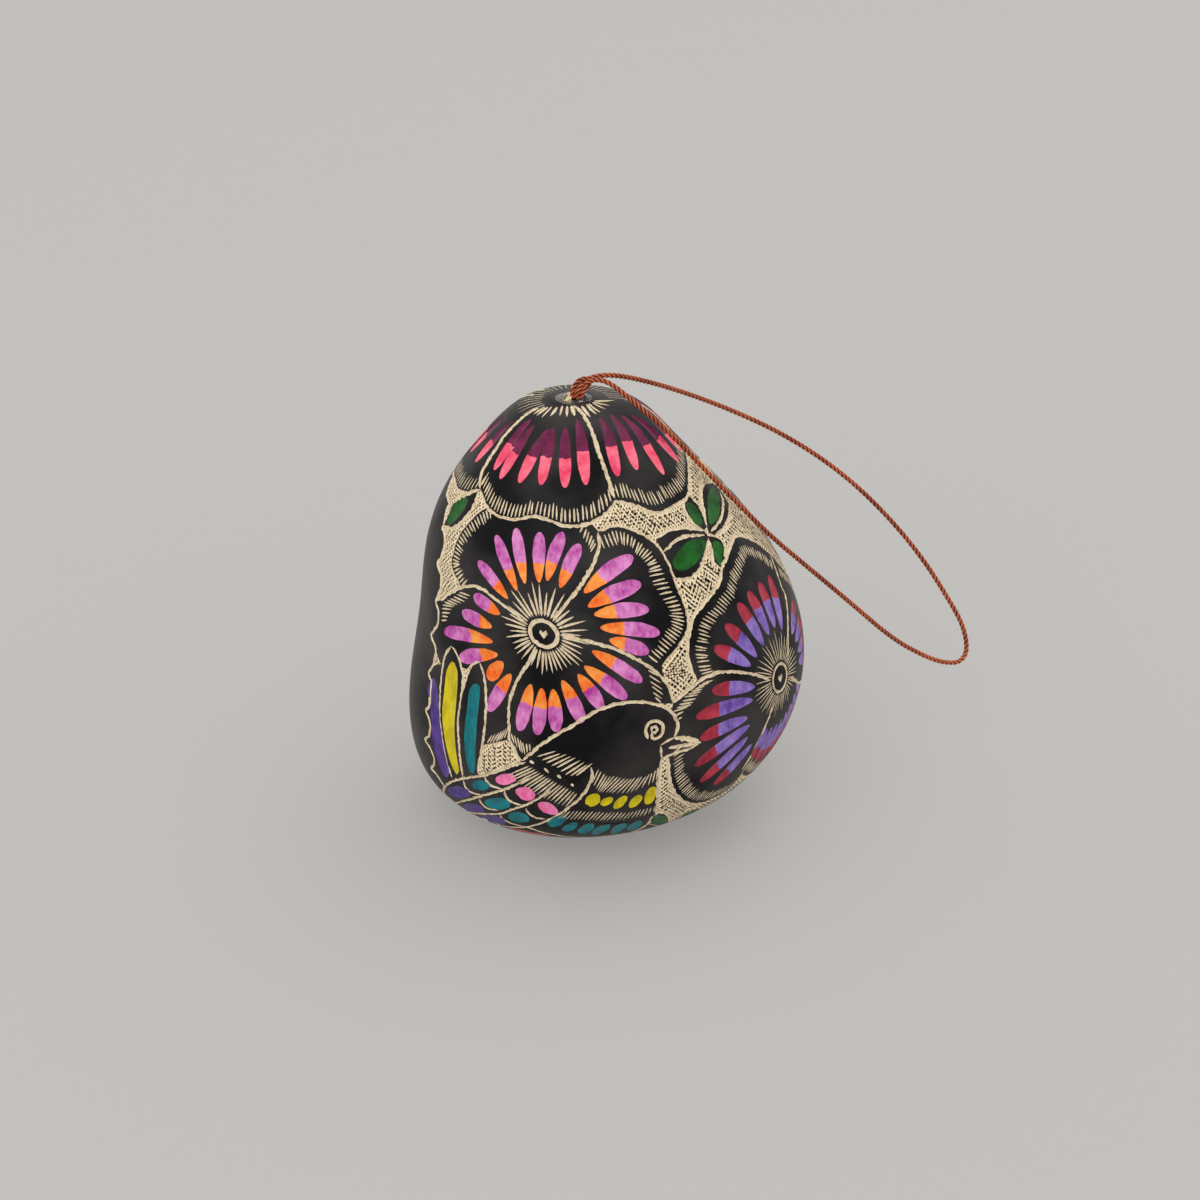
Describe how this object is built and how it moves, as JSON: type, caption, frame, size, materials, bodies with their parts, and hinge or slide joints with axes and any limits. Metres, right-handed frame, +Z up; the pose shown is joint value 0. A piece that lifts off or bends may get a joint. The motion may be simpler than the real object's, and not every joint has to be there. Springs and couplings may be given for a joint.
{
  "type": "carved gourd ornament",
  "caption": "Small hollow dried gourd with carved and stained skin, hung from a loop of twisted waxed cord through its drilled crown.",
  "frame": {"origin": "on the table under the middle of the gourd's box, without the loop", "axes": "+Z up from the flat underside to the crown, -Y towards the front with the bird, +X to the side on which the loop lies"},
  "size_m": [0.0883, 0.06, 0.0692],
  "materials": {
    "gourd_skin": "dark stained skin with a soft shine, carved through to pale wood and stained in colours",
    "peg_wood": "raw split wood",
    "clear_glue": "clear, glossy",
    "waxed_cord": "twisted and waxed",
    "dry_seed": "dry and matt"
  },
  "bodies": {
    "gourd": {"gourd_shell": "gourd_skin", "stem_peg": "peg_wood", "glue_drop": "clear_glue", "outer_knot": "waxed_cord", "cord_tail": "waxed_cord", "stopper_knot": "waxed_cord", "gourd_seeds": "dry_seed"},
    "loop": {"hanging_loop": "waxed_cord"}
  },
  "joints": [
    {"name": "loop_swing", "type": "hinge", "parent": "gourd", "child": "loop", "pos_m": [-0.00365, -0.00085, 0.06723], "axis": [0, -1, 0], "range_deg": [0, 120]}
  ]
}
